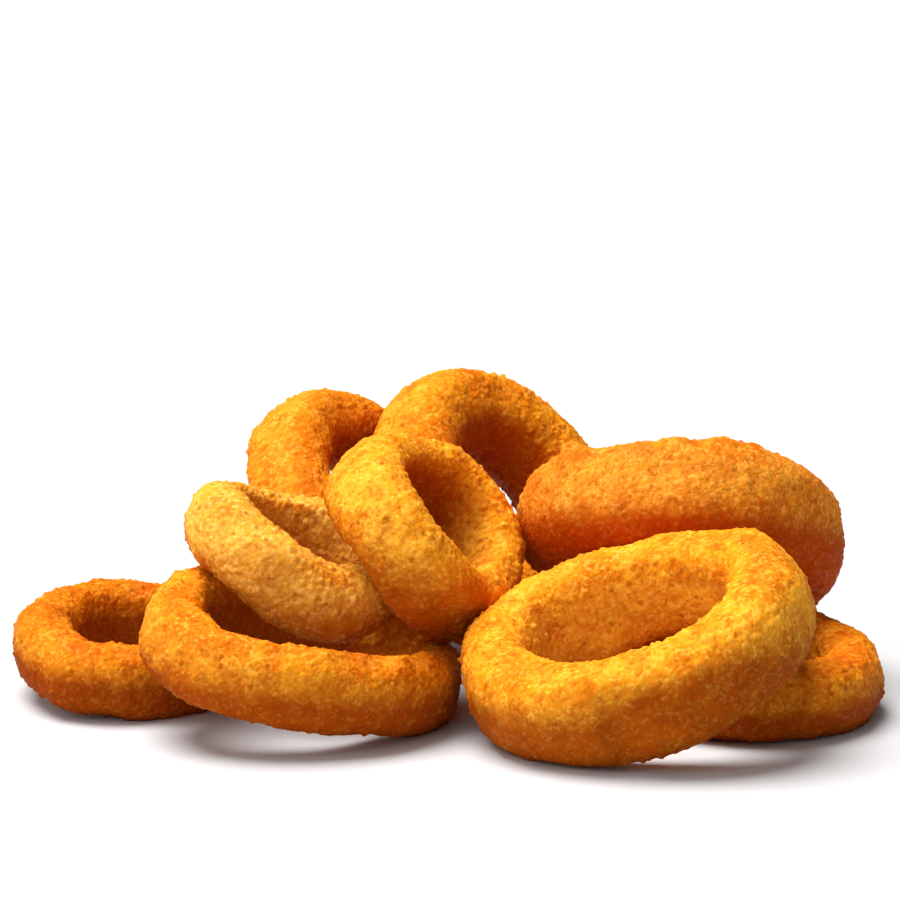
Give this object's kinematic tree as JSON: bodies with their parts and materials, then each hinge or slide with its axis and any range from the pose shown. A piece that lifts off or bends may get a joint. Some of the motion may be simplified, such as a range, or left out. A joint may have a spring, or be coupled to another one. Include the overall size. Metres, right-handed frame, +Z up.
{
  "type": "heap of onion rings",
  "caption": "Loose heap of golden breaded onion rings, some flat and some leaning on each other, as a side serving of fried food.",
  "frame": {"origin": "on the surface that the heap lies on, under the middle of the heap's bounding box", "axes": "+X to the right of the front view, along the heap's longest side; +Y away from the front; +Z up"},
  "size_m": [0.1504, 0.1242, 0.0487],
  "materials": {
    "crust_golden": "matte fried crumb coat, golden",
    "crust_deep_golden": "matte fried crumb coat, deeper golden brown",
    "crust_pale_tan": "matte fried crumb coat, paler tan"
  },
  "bodies": {
    "root": {"ring_far_left": "crust_deep_golden", "ring_front_left": "crust_golden", "ring_middle_left": "crust_pale_tan", "ring_back_left": "crust_golden", "ring_middle": "crust_golden", "ring_back_top": "crust_golden", "ring_top_right": "crust_deep_golden", "ring_front_right": "crust_golden", "ring_under_right": "crust_deep_golden"}
  },
  "joints": []
}
